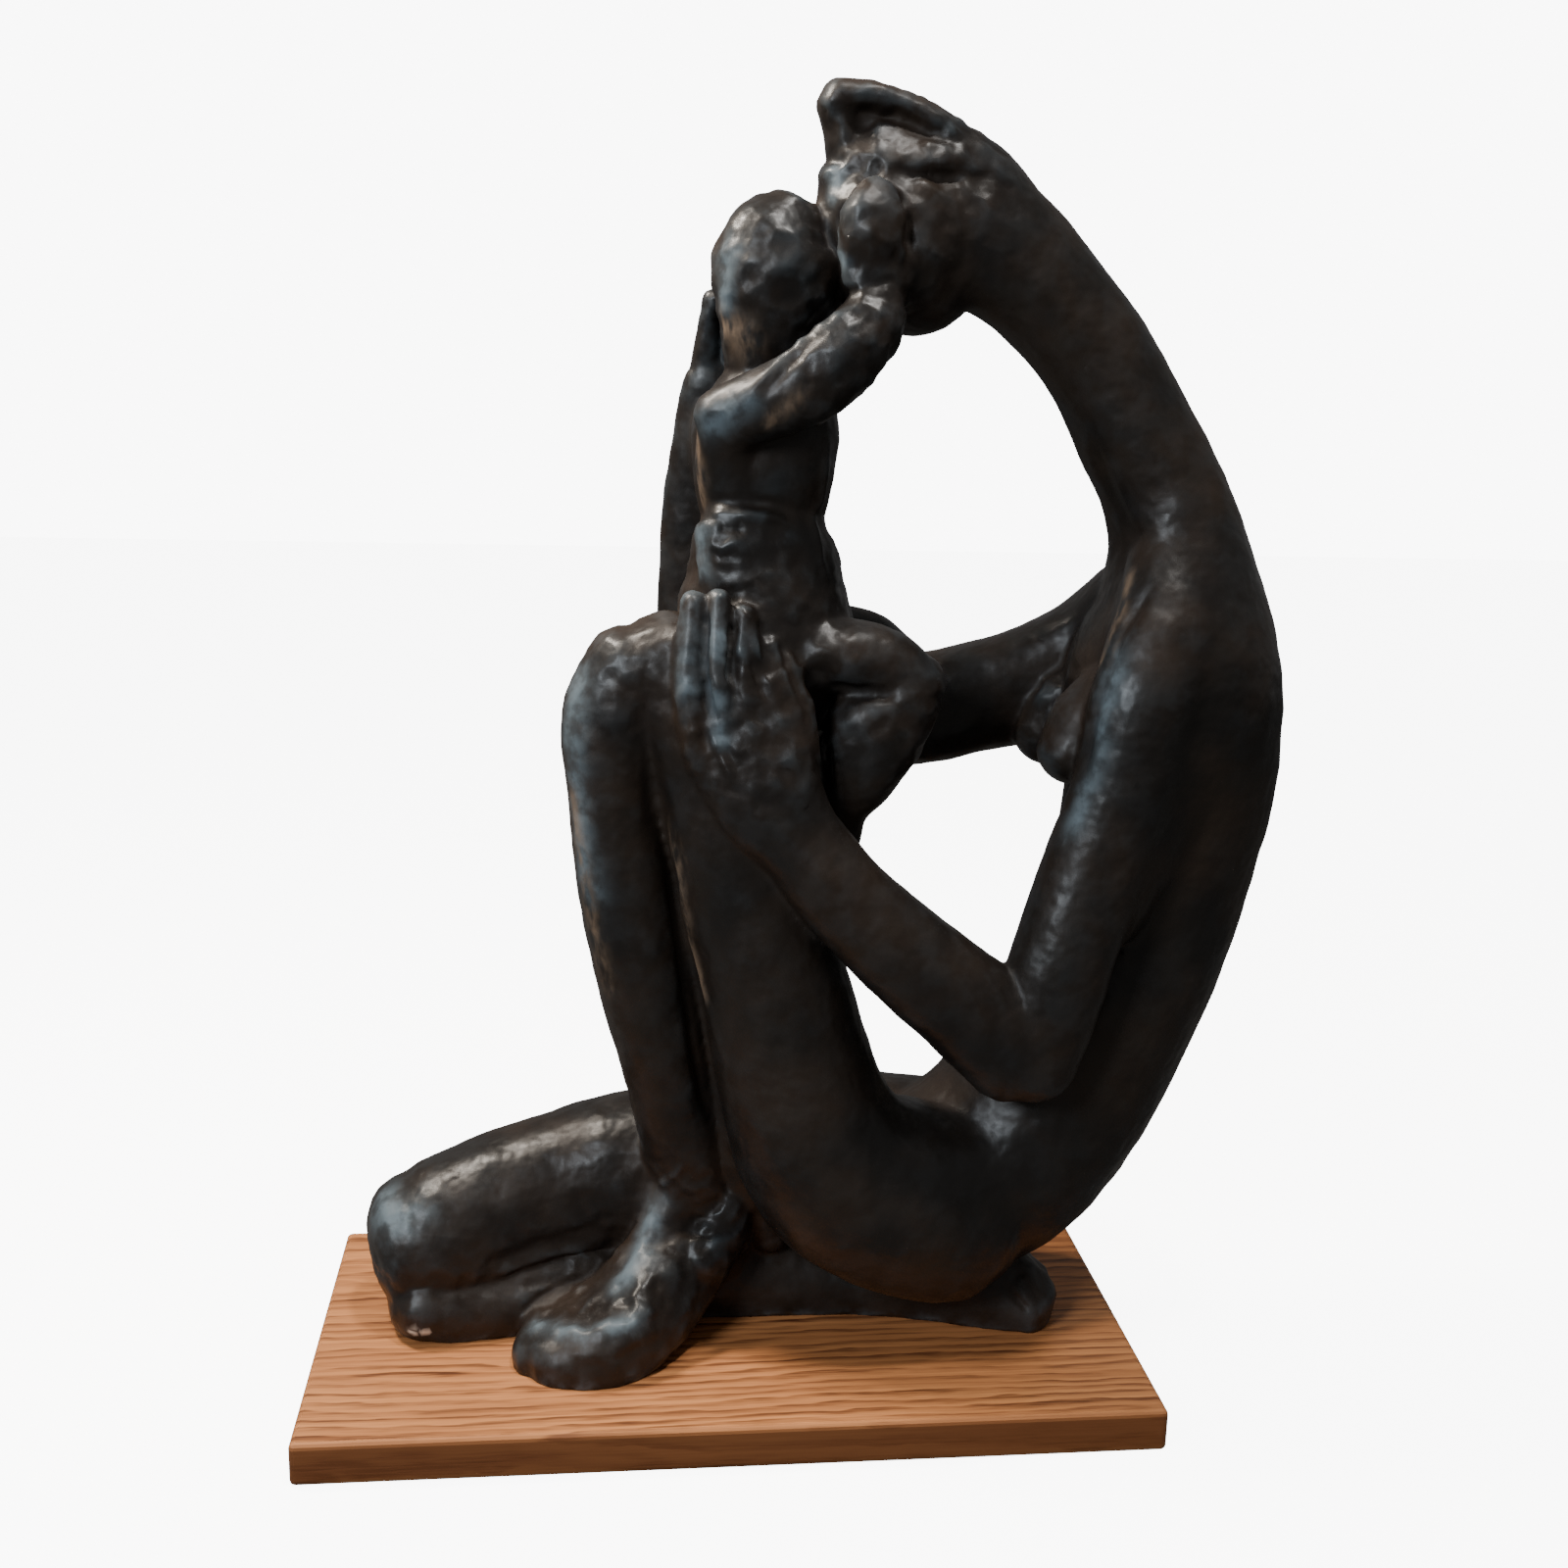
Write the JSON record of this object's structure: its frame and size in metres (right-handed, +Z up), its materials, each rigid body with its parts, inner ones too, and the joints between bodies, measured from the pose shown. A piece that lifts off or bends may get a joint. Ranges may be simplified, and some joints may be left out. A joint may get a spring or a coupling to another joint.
{
  "type": "mother and child sculpture",
  "caption": "Tall abstract figurative sculpture of a kneeling mother bowing over the child on her raised knee, dark cast figure on a rectangular oak board.",
  "frame": {"origin": "middle of the board's underside", "axes": "+Z up, +X along the board towards the mother's back, so that she faces -X, and +Y across the board from her raised knee's side to her folded leg's side"},
  "size_m": [0.4245, 0.1842, 0.5624],
  "materials": {
    "patina": "black-brown bronze-look patina over a plaster casting, satin, with blue-green and tan wear",
    "oak": "oiled red oak, satin"
  },
  "bodies": {
    "root": {"mother_and_child": "patina", "oak_board": "oak"}
  },
  "joints": []
}
